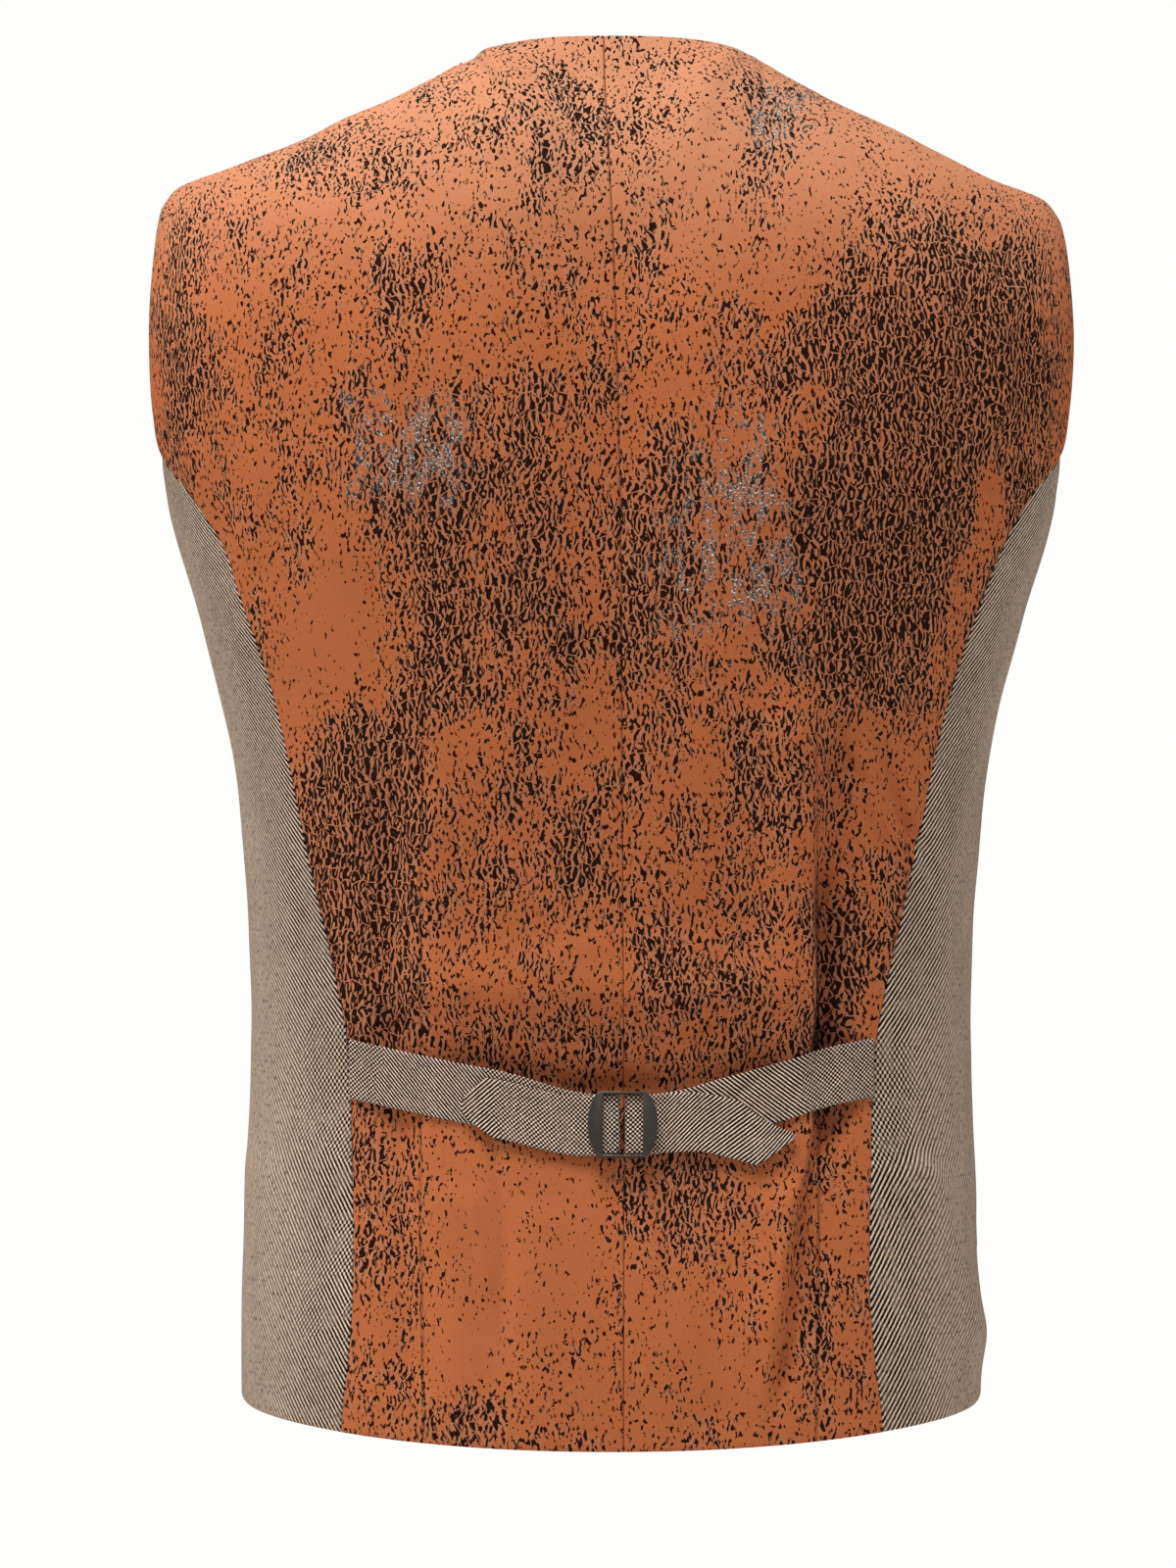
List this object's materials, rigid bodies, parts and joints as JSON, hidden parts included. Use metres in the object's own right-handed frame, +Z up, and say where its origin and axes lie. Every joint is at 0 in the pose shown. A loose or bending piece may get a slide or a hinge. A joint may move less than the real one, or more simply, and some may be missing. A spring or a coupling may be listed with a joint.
{
  "type": "suit waistcoat",
  "caption": "Sleeveless tailored waistcoat, worn and hollow: crackle-print suede back with cinch strap and buckle, tweed fronts wrapping round to the back, V neck, buttoned front.",
  "frame": {"origin": "on the centre line between the shoulder seams, level with the middle of the shoulders, where the wearer's shoulders carry the waistcoat", "axes": "+Z up, the wearer faces -Y, +X is the wearer's left"},
  "size_m": [0.4049, 0.2557, 0.6311],
  "materials": {
    "suede": "rust faux suede with a worn black crackle print",
    "tweed": "taupe and brown nailhead tweed, matt",
    "buckle_metal": "dark gunmetal plating, softly worn",
    "button_horn": "dark brown horn-like resin, half gloss"
  },
  "bodies": {
    "root": {"back_left": "suede", "back_right": "suede", "front_left": "tweed", "front_right": "tweed", "strap_left": "tweed", "strap_right": "tweed", "cinch_buckle": "buckle_metal", "button_1": "button_horn", "button_2": "button_horn", "button_3": "button_horn", "button_4": "button_horn", "button_5": "button_horn"}
  },
  "joints": []
}
